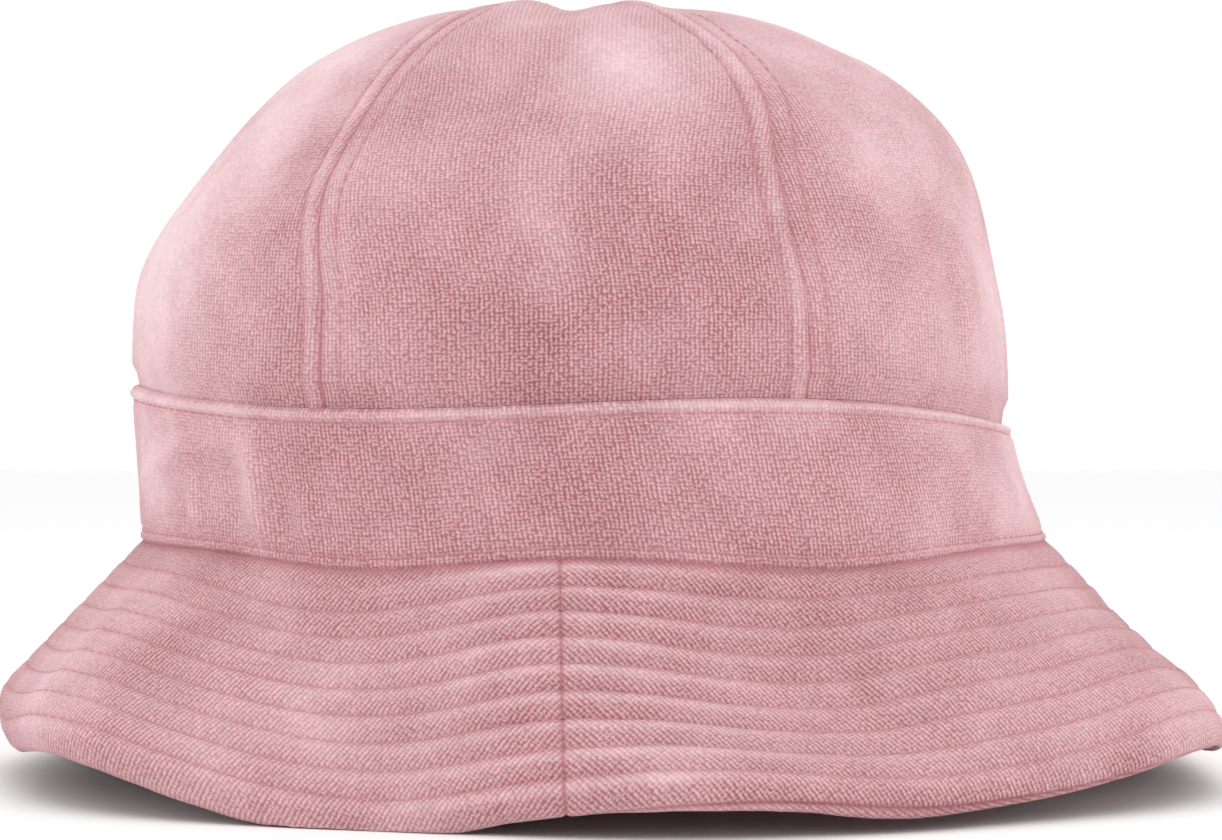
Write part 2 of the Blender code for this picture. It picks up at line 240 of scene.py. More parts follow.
def crown_base(angle, way):
    """The frame's crown. A way below 0 is the tuck behind the band."""
    inset = TERRY + GAP
    rise = np.sin(np.clip(way, 0, 1) * math.pi / 2) ** (2 / CROWN_SQUARENESS)
    z = band_top(angle) * (1 - rise) + (BAND_TOP_HEIGHT + CROWN_RISE) * rise
    twist = np.radians(waves(angle, SEAM_TWIST * np.cos(angle), SEAM_TWIST_WAVES))
    turned = angle - twist * ease(z, SEAM_TWIST_FROM, SEAM_TWIST_TO)
    x = (BAND_TOP_HALF_WIDTH - inset) * crown_share(way) * np.sin(turned) + lean(z)
    y = -(BAND_TOP_HALF_LENGTH - inset) * crown_share(way) * np.cos(turned)
    dome = np.stack(np.broadcast_arrays(x, y, z), axis=-1)
    tuck = band_base(angle, 1 + np.minimum(way, 0), inset)
    return np.where(np.asarray(way)[..., None] < 0, tuck, dome)


def brim_slope(angle, along):
    """Slope of the brim below the horizontal, in radians, at a distance from the band."""
    droop = waves(angle, EDGE_DROOP, EDGE_DROOP_WAVES)
    start = waves(angle, EDGE_DROOP_START, EDGE_DROOP_START_WAVES)
    bend = waves(angle, 0, BRIM_BENDS) * np.cos(math.pi * along / BRIM_WIDTH)
    slope = waves(angle, BRIM_SLOPE, BRIM_WAVES) + bend + droop * ease(along / BRIM_WIDTH, start, 1)
    return np.radians(slope)


def brim_profile(angle, along):
    """How far out and down the brim has run at a distance from the band, and its slope there."""
    run = drop = 0
    for step in range(PROFILE_STEPS):
        slope = brim_slope(angle, along * (step + 0.5) / PROFILE_STEPS)
        run = run + np.cos(slope) * along / PROFILE_STEPS
        drop = drop + np.sin(slope) * along / PROFILE_STEPS
    return run, drop, brim_slope(angle, along)


def brim_base(angle, way, depth=0.0):
    """The frame's brim: out over the top, round the rolled edge and back underneath."""
    roll = np.clip((way - BRIM_WIDTH) / EDGE_RADIUS, 0, math.pi)
    back = np.maximum(way - BRIM_WIDTH - ROLL_LENGTH, 0)
    along = np.minimum(way, BRIM_WIDTH) - back
    run, drop, slope = brim_profile(angle, along)
    core = EDGE_RADIUS - depth
    run = run - EDGE_RADIUS * np.sin(slope) + core * np.sin(slope + roll)
    drop = drop + EDGE_RADIUS * np.cos(slope) - core * np.cos(slope + roll)
    out_x = np.sin(angle) / SEAM_HALF_WIDTH
    out_y = -np.cos(angle) / SEAM_HALF_LENGTH
    size = np.hypot(out_x, out_y)
    shift = lean(SEAM_HEIGHT) * (1 - along / BRIM_WIDTH)
    x = SEAM_HALF_WIDTH * np.sin(angle) + shift + run * out_x / size
    y = -SEAM_HALF_LENGTH * np.cos(angle) + run * out_y / size
    z = np.maximum(seam_height(angle) - drop, 0)
    return np.stack(np.broadcast_arrays(x, y, z), axis=-1)


def edge_seam(angle):
    """Angle round the rolled edge, in radians, where the upper and under cloth meet."""
    return np.radians(waves(angle, EDGE_SEAM, EDGE_SEAM_WAVES))


def unit(vectors):
    """Vectors brought to length 1."""
    return vectors / np.maximum(np.linalg.norm(vectors, axis=-1, keepdims=True), 1e-12)


def normals(surface, angle, way):
    """Unit normals of a surface of angle and way."""
    step_angle, step_way = 1e-3, 1e-4
    across = surface(angle + step_angle, way) - surface(angle - step_angle, way)
    along = surface(angle, way + step_way) - surface(angle, way - step_way)
    return unit(np.cross(across, along))


def smooth_noise(points, size, seed):
    """Smooth random values from -1 to 1 at points in space, changing over about the size."""
    table = np.random.RandomState(seed).uniform(-1, 1, 4096)
    cells = points / size
    low = np.floor(cells).astype(np.int64)
    share = cells - low
    share = share * share * (3 - 2 * share)
    total = np.zeros(points.shape[:-1])
    for corner in itertools.product((0, 1), repeat=3):
        at = low + np.array(corner)
        key = at[..., 0] * 73856093 ^ at[..., 1] * 19349663 ^ at[..., 2] * 83492791
        weight = np.prod(np.where(np.array(corner) > 0, share, 1 - share), axis=-1)
        total += weight * table[key % len(table)]
    return total


def fold(across, up, line, width):
    """1 along the middle of a soft fold that follows a line of points, fading at its ends."""
    spans = [math.dist(start, end) for start, end in zip(line, line[1:])]
    nearest = np.full(np.shape(across), np.inf)
    place = np.zeros(np.shape(across))
    passed = 0.0
    for (x0, y0), (x1, y1), span in zip(line, line[1:], spans):
        share = ((across - x0) * (x1 - x0) + (up - y0) * (y1 - y0)) / span**2
        share = np.clip(share, 0, 1)
        distance = np.hypot(across - x0 - share * (x1 - x0), up - y0 - share * (y1 - y0))
        place = np.where(distance < nearest, (passed + share * span) / sum(spans), place)
        nearest = np.minimum(distance, nearest)
        passed += span
    return dip(nearest, width) * np.sin(math.pi * place) ** 0.6


def spread(degrees, way, part):
    """Distances round and up the cloth of a part, in degrees at its rim."""
    narrowing = crown_share(way) if part == "crown" else 1
    return degrees * narrowing, way * SPREAD[part]


def folds(angle, way, listed, part):
    """Sum of a part's listed folds."""
    across, up = spread(np.degrees(wrap(angle)), way, part)
    total = np.zeros(np.shape(across))
    for line, width, amount in listed:
        total = total + amount * fold(across, up, [spread(*point, part) for point in line], width)
    return total


def patches(angle, way, listed):
    """Sum of soft oval patches, each an angle, a way, its two half sizes and its strength."""
    total = np.zeros(np.broadcast(angle, way).shape)
    for centre, middle, width, height, strength in listed:
        total = total + strength * bump(angle, centre, width) * dip(way - middle, height)
    return total


def wear_and_painted_light(base, angle, way, listed):
    """0 where the loops stand up and 1 where they are pale and flat: random worn patches, with listed
    patches of painted light and, where negative, painted shade.
    """
    drift = 0.16 * smooth_noise(base, 0.03, 61) + 0.14 * smooth_noise(base, 0.012, 62)
    fine = 0.1 * smooth_noise(base, 0.005, 63)
    return np.clip(0.16 + drift + fine + patches(angle, way, listed), 0, 1)


# ---- Crown ----
# Soft folds: points of (degrees, way up), width in degrees at the rim, and height in metres.
CROWN_FOLDS = [
    ([(-13, 0.62), (-12, 0.5), (-10, 0.38)], 3.2, -0.0012),
    ([(-8, 0.72), (-5, 0.44), (-3, 0.3), (-3, 0.15)], 2.6, 0.0008),
    ([(-2, 0.6), (0, 0.4), (2, 0.28)], 2.4, -0.0006),
    ([(7, 0.74), (8, 0.45), (13, 0.3), (15, 0.2)], 4.5, 0.001),
    ([(-27, 0.32), (-24, 0.2), (-17, 0.04)], 6.0, 0.0012),
    ([(-23.5, 0.16), (-23, 0.01)], 0.9, -0.0005),
    ([(50, 0.16), (52, 0.08), (53, 0.0)], 1.8, 0.0008),
    ([(57, 0.2), (56.5, 0.08), (57, 0.01)], 1.5, -0.0008),
    ([(66, 0.24), (61, 0.12), (60, 0.03)], 2.0, 0.0009),
    ([(36, 0.72), (42, 0.5), (50, 0.32), (60, 0.22)], 3.6, -0.001),
    ([(31, 0.62), (36, 0.38), (41, 0.15)], 3.4, 0.0006),
    ([(-44, 0.2), (-46, 0.02)], 3.0, -0.0008),
    ([(-56, 0.4), (-58, 0.14), (-60, 0.02)], 4.2, 0.0009),
    ([(-92, 0.1), (-100, 0.34), (-104, 0.52)], 4.0, -0.0009),
    ([(-118, 0.05), (-122, 0.2), (-124, 0.4)], 3.4, 0.001),
    ([(96, 0.08), (104, 0.3), (112, 0.52)], 4.5, 0.0009),
    ([(124, 0.06), (120, 0.28), (122, 0.5)], 4.0, -0.001),
    ([(160, 0.04), (168, 0.2), (172, 0.45)], 4.2, 0.0011),
    ([(-174, 0.1), (-178, 0.3), (-170, 0.52)], 3.8, -0.0009),
    ([(-146, 0.62), (-150, 0.4), (-158, 0.24)], 4.8, -0.001),
]
# Patches of painted light, and painted shade where negative, over real wear on the crown.
CROWN_WEAR_AND_LIGHT = [
    (-96, 0.3, 36, 0.42, 0.58), (-56, 0.55, 26, 0.2, 0.5), (-64, 0.1, 15, 0.15, 0.6),
    (-2, 0.24, 6, 0.08, 0.2), (9, 0.52, 8, 0.16, 0.4), (-28, 0.18, 4, 0.16, 0.2),
    (-17, 0.26, 9, 0.2, 0.28), (-8, 0.58, 12, 0.14, 0.22), (0, 0.28, 7, 0.12, 0.16),
    (14, 0.42, 16, 0.12, 0.22), (-52, 0.3, 14, 0.18, 0.42), (40, 0.05, 8, 0.1, 0.22),
    (52, 0.34, 14, 0.2, 0.42), (76, 0.5, 22, 0.3, 0.36), (74, 0.12, 11, 0.18, 0.4),
    (52, 0.05, 10, 0.08, 0.4), (180, 0.45, 30, 0.24, 0.18), (150, 0.16, 18, 0.16, 0.12),
]
# Painted highlight: how much paler the very top of the crown is painted.
TOP_HIGHLIGHT = 0.28
# Painted highlight on the raised strip beside each seam.
STRIP_HIGHLIGHT = 0.16
# Relief in metres.
SEAM_GROOVE = 0.00026
PROUD_SIDE = 0.00034
LOW_SIDE = 0.00012
PROUD_FURROW = 0.00045
LOW_FURROW = 0.00022
PANEL_PUFF = 0.0004
BLOUSE = 0.0017
RIPPLE = 0.00013
RIPPLE_SPACING = 0.0048
RIPPLE_SLANT = 0.7
# Folds over the very top: points of (x, y), width and height, all in metres.
TOP_FOLDS = [
    ([(-0.03, -0.066), (-0.02, -0.04), (-0.015, -0.01), (-0.012, 0.03)], 0.005, 0.0011),
    ([(-0.012, -0.066), (-0.008, -0.034), (-0.0062, 0.000), (-0.004, 0.032)], 0.0042, -0.0016),
    ([(0.006, -0.06), (0.006, -0.03), (0.004, 0.000), (0.008, 0.03)], 0.0048, 0.0007),
    ([(0.05, -0.02), (0.03, -0.004), (0.022, 0.03)], 0.007, -0.001),
]


def seam_pull(to_seam, base, seed):
    """Small slanting ripples where stitching has drawn the cloth beside a seam."""
    wander = 1.3 * smooth_noise(base, 0.009, seed)
    wave = np.sin(2 * math.pi * (base[..., 2] + RIPPLE_SLANT * to_seam) / RIPPLE_SPACING + 4 * wander)
    return RIPPLE * wave * (0.5 + 0.5 * wander) * dip(to_seam - 0.004, 0.0045)


def crown_relief(centre, angle, way):
    """How far the crown's cloth stands out from the frame, for the panel at a centre angle."""
    radius = crown_radius(way)
    to_seam = (HALF_PANEL - np.abs(angle - centre)) * radius
    # relief fades out where the panels narrow at the top
    room = np.clip(HALF_PANEL * radius / 0.012, 0, 1)
    base = crown_base(angle, way)
    wobble = 0.00025 * smooth_noise(base, 0.006, 14)
    groove = -SEAM_GROOVE * dip(to_seam, 0.0006)
    # the cloth laps: it stands proud on one side of each seam and starts low on the other
    proud = PROUD_SIDE * ease(to_seam, 0.0, 0.0016) * (1 - ease(to_seam, 0.0028, 0.0046))
    low = -LOW_SIDE * (1 - ease(to_seam, 0.0006, 0.0036))
    depth = np.where(angle > centre, PROUD_FURROW, LOW_FURROW)
    furrow = depth * dip(to_seam - TOPSTITCH_OFFSET + wobble, 0.0006)
    ridge = np.where(angle > centre, proud, low)
    puff = PANEL_PUFF * ease(to_seam, TOPSTITCH_OFFSET, 0.02) * ease(way, -0.02, 0.12)
    soft = 0.00045 * smooth_noise(base, 0.03, 11) + 0.00018 * smooth_noise(base, 0.011, 12)
    soft = soft + folds(angle, way, CROWN_FOLDS, "crown") + seam_pull(to_seam, base, 13)
    over = ease(base[..., 2], 0.125, 0.145)
    for line, width, amount in TOP_FOLDS:
        soft = soft + over * amount * fold(base[..., 0], base[..., 1], line, width)
    bloused = BLOUSE * ease(way, 0.002, 0.022) * (1 - ease(way, 0.1, 0.35))
    return (groove + ridge - furrow) * room + puff + bloused + soft * ease(way, -0.05, 0.05)


def crown_skin(centre, angle, way, lift=0.0):
    """The crown's cloth itself, with its relief, for the panel at a centre angle."""
    out = normals(crown_base, angle, way)
    return crown_base(angle, way) + out * (crown_relief(centre, angle, way) + lift)[..., None]


def crown_crease_shade(centre, angle, way):
    """Painted shade: 1 deep in the seam beside a panel, less in its topstitch furrow, and 0 on its open
    cloth.
    """
    to_seam = (HALF_PANEL - np.abs(angle - centre)) * crown_radius(way)
    return np.clip(0.8 * dip(to_seam, 0.0006) + 0.55 * dip(to_seam - TOPSTITCH_OFFSET, 0.0005), 0, 1)


def crown_strip_highlight(centre, angle, way):
    """Painted highlight: 1 on the raised strip beside the seam that the panel laps over, painted pale as
    if lit.
    """
    to_seam = (HALF_PANEL - (angle - centre)) * crown_radius(way)
    return ease(to_seam, 0.0006, 0.0016) * (1 - ease(to_seam, 0.0034, 0.0044))


# ---- Band ----
BAND_FOLDS = [
    ([(-40, 0.86), (-41.5, 0.7), (-41.5, 0.38), (-41, 0.03)], 1.5, 0.0018),
    ([(-46, 0.66), (-45.5, 0.4), (-46, 0.0)], 1.7, -0.0011),
    ([(-54, 0.56), (-54, 0.3), (-53, 0.04)], 1.3, 0.0015),
    ([(-57.5, 0.42), (-57, 0.22), (-56, 0.02)], 1.2, -0.0007),
    ([(-75, 0.34), (-66, 0.5), (-54, 0.68), (-42, 0.8)], 1.8, 0.0016),
    ([(-66, 0.66), (-58, 0.74), (-48, 0.86)], 1.6, -0.0009),
    ([(-63, 0.44), (-66, 0.28), (-74, 0.1)], 2.2, 0.0009),
    ([(-37, 0.56), (-37, 0.3), (-37.5, 0.02)], 1.3, -0.0011),
    ([(-33.5, 0.5), (-34, 0.25), (-34.5, 0.02)], 1.3, 0.0013),
    ([(-24, 0.3), (-12, 0.62), (-6, 0.85)], 4.0, -0.0006),
    ([(-10, 0.12), (2, 0.34), (8, 0.7)], 3.4, 0.0005),
    ([(22, 0.18), (34, 0.44), (40, 0.8)], 4.0, 0.0005),
    ([(62, 0.2), (70, 0.5), (72, 0.85)], 2.4, 0.0008),
    ([(78, 0.15), (80, 0.5), (84, 0.75)], 2.0, -0.0008),
    ([(112, 0.12), (120, 0.45), (124, 0.8)], 2.6, 0.0009),
    ([(138, 0.2), (146, 0.52), (150, 0.8)], 3.0, -0.0009),
    ([(170, 0.15), (176, 0.5), (174, 0.82)], 2.4, 0.0009),
    ([(-160, 0.2), (-166, 0.48), (-170, 0.78)], 2.4, -0.0008),
    ([(-118, 0.15), (-124, 0.45), (-136, 0.72)], 2.8, 0.001),
    ([(-98, 0.12), (-96, 0.45), (-100, 0.8)], 2.2, -0.0009),
]
# Patches of painted light, and painted shade where negative, over real wear on the band.
BAND_WEAR_AND_LIGHT = [
    (-90, 0.6, 22, 0.5, 0.5), (-42, 0.4, 2, 0.4, 0.28), (-54, 0.28, 2, 0.2, 0.22),
    (-34, 0.28, 2, 0.2, 0.18), (-36, 0.15, 8, 0.25, -0.2), (-18, 0.5, 13, 0.6, -0.1),
    (-62, 0.5, 14, 0.6, 0.16), (64, 0.25, 9, 0.3, 0.26), (50, 0.5, 10, 0.6, 0.1),
    (-66, 0.45, 7, 0.25, 0.35), (80, 0.6, 16, 0.5, 0.45), (52, 0.9, 8, 0.15, 0.25),
    (150, 0.5, 12, 0.4, 0.3),
]
BAND_WEAR = 0.1
# How much paler the ridge just below the band's top edge is.
UPPER_RIDGE_PALING = 0.4
LOWER_EDGE_RELIEF = 0.00034
UPPER_EDGE_RELIEF = 0.00042
EDGE_RIDGE_INSET = 0.0009


def band_relief(angle, rise):
    """How far the band's cloth stands out from the frame."""
    base = band_base(angle, rise)
    low = rise * BAND_HEIGHT
    high = (1 - rise) * BAND_HEIGHT
    wobble = 0.00022 * smooth_noise(base, 0.005, 24)
    relief = -0.00055 * dip(low, 0.0004) - 0.00035 * dip(high, 0.00025)
    for edge, strength in ((low, LOWER_EDGE_RELIEF), (high, UPPER_EDGE_RELIEF)):
        relief = relief - strength * dip(edge - EDGE_STITCH_INSET + wobble, 0.0005)
        relief = relief + strength * dip(edge - EDGE_RIDGE_INSET, 0.0008)
    middle = ease(low, 0.002, 0.006) * ease(high, 0.002, 0.006)
    soft = 0.00035 * smooth_noise(base, 0.022, 21) + 0.00016 * smooth_noise(base, 0.007, 22)
    soft = soft + folds(angle, rise, BAND_FOLDS, "band")
    drawn = seam_pull(low, base, 23) + seam_pull(high, base, 25)
    return relief + soft * (0.2 + 0.8 * middle) + drawn


def band_skin(angle, rise, lift=0.0):
    """The band's cloth itself, with its relief."""
    out = normals(band_base, angle, rise)
    return band_base(angle, rise) + out * (band_relief(angle, rise) + lift)[..., None]


def band_crease_shade(rise):
    """Painted shade: 1 deep beside the band's edges and 0 on its open cloth."""
    low, high = rise * BAND_HEIGHT, (1 - rise) * BAND_HEIGHT
    edge_stitch = dip(low - EDGE_STITCH_INSET, 0.0004) + dip(high - EDGE_STITCH_INSET, 0.0004)
    return np.clip(dip(low, 0.0005) + 0.4 * edge_stitch, 0, 1)


# ---- Brim ----
PUFF = 0.00011
PUFF_WAVES = [
    (-1, 13, 0.0002), (-40, 16, 0.00004), (-90, 22, -0.00007), (40, 20, 0.00006), (170, 30, 0.00008)
]
RING_FURROW = 0.00026
BRIM_FOLDS = [
    ([(-60, 0.05), (-58, 0.5), (-56, 0.95)], 2.6, 0.0006),
    ([(-47, 0.15), (-44, 0.55), (-41, 0.9)], 3.0, -0.0005),
    ([(20, 0.1), (24, 0.5), (27, 0.92)], 3.4, -0.0004),
    ([(47, 0.08), (50, 0.5), (52, 0.95)], 2.6, 0.0005),
    ([(76, 0.42), (92, 0.48), (108, 0.42)], 5.0, -0.0014),
    ([(112, 0.1), (116, 0.5), (118, 0.95)], 4.0, -0.0006),
    ([(160, 0.1), (163, 0.5), (166, 0.95)], 4.0, 0.0006),
    ([(-132, 0.1), (-136, 0.5), (-138, 0.95)], 4.0, -0.0006),
]
# Patches of painted light, and painted shade where negative, over real wear on the brim.
BRIM_WEAR_AND_LIGHT = [
    (-62, 0.45, 10, 0.6, 0.26), (-92, 0.5, 26, 0.6, 0.16), (-30, 0.6, 14, 0.4, 0.25),
    (-15, 0.5, 9, 0.5, 0.16), (-56, 0.85, 14, 0.22, 0.34), (34, 0.5, 12, 0.4, 0.2),
    (-8, 0.02, 6, 0.06, 0.35), (58, 0.45, 12, 0.6, 0.32), (20, 0.86, 22, 0.12, 0.16),
    (62, 0.86, 14, 0.16, 0.18), (92, 0.5, 24, 0.6, 0.18), (165, 0.3, 26, 0.4, 0.15),
]


def ring_way(angle, number):
    """Distance from the band of a quilting ring, counted from 0 out, and the spacing of the rings."""
    drift = waves(angle, 0, ROW_DRIFT)
    first = FIRST_ROW + drift
    spacing = (LAST_ROW + LAST_ROW_DRIFT * drift - first) / (STITCH_ROWS - 1)
    return first + number * spacing, spacing


def from_ring(angle, along):
    """Distance from the nearest quilting ring, below 0 on the band's side of it, and their spacing."""
    first, spacing = ring_way(angle, 0)
    nearest = np.clip(np.rint((along - first) / spacing), 0, STITCH_ROWS - 1)
    return along - first - nearest * spacing, spacing


def from_brim_seam(angle, along):
    """Distance round the brim from the nearest of its two seams."""
    away = 1.0
    for seam in (BRIM_SEAM_ANGLE, BRIM_SEAM_ANGLE + 180):
        turn = np.abs(wrap(angle - math.radians(seam)))
        away = np.minimum(away, turn * (SEAM_HALF_WIDTH + 0.7 * along))
    return away


def brim_along(way):
    """Distance from the band of a place on the brim's top, edge or underside."""
    under = way > BRIM_WIDTH + ROLL_LENGTH / 2
    return np.where(under, 2 * BRIM_WIDTH + ROLL_LENGTH - way, way)


def to_edge_seam(angle, way):
    """Distance past the line on the rolled edge where the upper and under cloth meet."""
    return way - BRIM_WIDTH - EDGE_RADIUS * edge_seam(angle)


def brim_relief(angle, way):
    """How far the brim's cloth stands out from the frame, on its top, edge and underside."""
    base = brim_base(angle, way)
    along = brim_along(way)
    away, spacing = from_ring(angle, along)
    puff = waves(angle, PUFF, PUFF_WAVES)
    # each channel is fullest a little below its upper stitches
    place = np.mod(away / spacing, 1)
    open_cloth = ease(along, 0.0, 0.003) * ease(BRIM_WIDTH - along, -0.001, 0.003)
    full = np.sin(math.pi * place ** 0.62) * open_cloth
    wobble = 0.00018 * smooth_noise(base, 0.006, 34)
    furrow = -RING_FURROW * dip(away + wobble, 0.00045)
    last = 0.00022 * dip(along - BRIM_WIDTH + 0.0016, 0.0022)
    seam = from_brim_seam(angle, along)
    seam_line = -0.0003 * dip(seam, 0.0004) + 0.00012 * dip(seam - 0.0022, 0.0018)
    edge_line = -0.0008 * dip(to_edge_seam(angle, way), 0.00055)
    soft = 0.00024 * smooth_noise(base, 0.016, 31) + 0.00012 * smooth_noise(base, 0.006, 32)
    soft = soft + folds(angle, along / BRIM_WIDTH, BRIM_FOLDS, "brim")
    pucker = 0.00006 * smooth_noise(base, 0.0026, 33)
    return 2 * puff * full + furrow + last + seam_line + edge_line + soft + pucker


def brim_skin(angle, way, lift=0.0):
    """The brim's cloth itself, with its relief. Its surface runs outwards, so its normals turn round."""
    out = -normals(brim_base, angle, way)
    skin = brim_base(angle, way) + out * (brim_relief(angle, way) + lift)[..., None]
    skin[..., 2] = np.maximum(skin[..., 2], 0)
    return skin


def brim_top_highlights(angle, along):
    """Painted highlight: how pale the upper, lit half of each quilted channel is painted; strongest at
    the front.
    """
    away, spacing = from_ring(angle, along)
    return waves(angle, 0.08, [(0, 16, 0.32)]) * dip(np.mod(away / spacing, 1) - 0.28, 0.2)


def brim_crease_shade(angle, way):
    """Painted shade: 1 deep in the brim's seams and next to the band, less in its quilting, and 0 on
    open cloth.
    """
    along = brim_along(way)
    seams = dip(from_brim_seam(angle, along), 0.00045) + dip(to_edge_seam(angle, way), 0.0007)
    quilted = 0.55 * dip(from_ring(angle, along)[0], 0.0004)
    return np.clip(seams + quilted + dip(along, 0.0012), 0, 1)


# ---- Mesh makers ----
def add_object(name, data):
    """A new object in the scene."""
    thing = bpy.data.objects.new(name, data)
    bpy.context.scene.collection.objects.link(thing)
    return thing


def run_along(points):
    """Distance run along a row of points, from its first to each."""
    return np.concatenate([[0], np.cumsum(np.linalg.norm(np.diff(points, axis=0), axis=1))])


def quads_between(index, after):
    """Quads between each row of point numbers and the row after it."""
    return np.stack([index[:, :-1], index[:, 1:], after[:, 1:], after[:, :-1]], axis=-1).reshape(-1, 4)


def rounded_rim(points, out, ahead, thickness):
    """Rows that turn a sheet's last row of points over to its other side in a half circle."""
    middle = points - out * thickness / 2
    turns = np.arange(1, RIM_STEPS) * math.pi / RIM_STEPS
    return np.stack([middle + (out * math.cos(t) + ahead * math.sin(t)) * thickness / 2 for t in turns])


def cloth_faces(rows, rim, columns):
    """Quads and end faces of a closed sheet: outer rows, a rim, inner rows and a rim, in a loop."""
    index = np.arange(2 * (rows + rim) * columns).reshape(-1, columns)
    after = np.roll(index, -1, axis=0)
    walls = quads_between(index, after)
    inner = np.arange(rows + rim, 2 * rows + rim)[::-1]
    caps = []
    for column, turn in ((0, 1), (-1, -1)):
        face, back = index[:rows, column], index[inner, column]
        caps.append(np.stack([face[:-1], face[1:], back[1:], back[:-1]], axis=-1)[:, ::turn])
    ends = []
    for place in (rows - 1, 2 * rows + rim - 1):
        for column, turn in ((0, 1), (-1, -1)):
            ring = np.take(index[:, column], np.arange(place, place + RIM_STEPS + 1), mode="wrap")
            ends.append(ring[::turn].tolist())
    return np.concatenate([walls, *caps]), ends


def cloth_piece(name, points, out, weave, thickness, crease_shade=None, wear_and_painted_light=None):
    """A closed sheet of cloth with two rounded rims, from points on its outer side and their normals."""
    rows, columns = points.shape[:2]
    across, along = unit(np.gradient(points, axis=1)), unit(np.gradient(points, axis=0))
    inside_out = (np.cross(across, along) * out).sum() < 0
    first = rounded_rim(points[0], out[0], -along[0], thickness)[::-1]
    last = rounded_rim(points[-1], out[-1], along[-1], thickness)
    loop = np.concatenate([points, last, (points - out * thickness)[::-1], first])
    source = np.concatenate([
        np.arange(rows), np.full(len(last), rows - 1), np.arange(rows)[::-1], np.zeros(len(first), int)
    ])
    quads, ends = cloth_faces(rows, len(last), columns)
    if inside_out:
        quads = quads[:, ::-1]
        ends = [end[::-1] for end in ends]
    mesh = bpy.data.meshes.new(name)
    mesh.from_pydata(loop.reshape(-1, 3), [], quads.tolist() + ends)
    corners = np.empty(len(mesh.loops), np.int32)
    mesh.loops.foreach_get("vertex_index", corners)
    layer = mesh.uv_layers.new(name="weave")
    layer.data.foreach_set("uv", weave[source].reshape(-1, 2)[corners].astype(np.float32).ravel())
    for label, values in (("crease_shade", crease_shade), ("wear_and_painted_light", wear_and_painted_light)):
        if values is not None:
            layer = mesh.attributes.new(label, "FLOAT", "POINT")
            layer.data.foreach_set("value", values[source].astype(np.float32).ravel())
    mesh.shade_smooth()
    mesh.set_sharp_from_angle(angle=math.radians(SHARP_ANGLE))
    return add_object(name, mesh)


def finish_piece(piece, material, slot, *nodes):
    """Gives a piece its material and body, and hides the frame nodes that it stands for. Its slot is not
    used.
    """
    piece.data.materials.append(material)
    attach(piece, "root")
    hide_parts(*nodes)


def stitches_along(name, surface, angle, way, sink=STITCH_SINK):
    """Separate machine stitches along a line on a surface of angle, way and lift."""
    lengths = run_along(surface(angle, way, -sink))
    count = max(1, int(lengths[-1] / (STITCH_LENGTH + STITCH_PAUSE)))
    share = np.linspace(0, 1, STITCH_SECTIONS)
    places = (np.arange(count)[:, None] + 0.5) * lengths[-1] / count + (share - 0.5) * STITCH_LENGTH
    at_angle = np.interp(places, lengths, angle)
    at_way = np.interp(places, lengths, way)
    arch = 0.8 * STITCH_RADIUS * np.sin(np.pi * share) - 0.9 * STITCH_RADIUS
    centre = surface(at_angle, at_way, arch - sink + STITCH_RADIUS)
    ahead = unit(np.gradient(centre, axis=1))
    raised = surface(at_angle, at_way, arch - sink + 2 * STITCH_RADIUS) - centre
    side = unit(np.cross(ahead, raised))
    up = np.cross(side, ahead)
    turn = np.arange(STITCH_SIDES) * 2 * math.pi / STITCH_SIDES
    fat = STITCH_RADIUS * np.sqrt(np.maximum(1 - (2 * share - 1) ** 6, 0.03))
    ring = side[:, :, None] * np.cos(turn)[:, None] + up[:, :, None] * np.sin(turn)[:, None]
    return stitch_mesh(name, centre[:, :, None] + ring * fat[None, :, None, None])


def stitch_mesh(name, points):
    """Joins tubes given as stitch, section and side into one mesh with closed ends."""
    count, sections, sides = points.shape[:3]
    index = np.arange(count * sections * sides).reshape(count, sections, sides)
    after = np.roll(index, -1, axis=2)
    faces = quads_between(index, after).tolist()
    faces += index[:, 0].tolist() + index[:, -1, ::-1].tolist()
    mesh = bpy.data.meshes.new(name)
    mesh.from_pydata(points.reshape(-1, 3), [], faces)
    mesh.shade_smooth()
    return add_object(name, mesh)


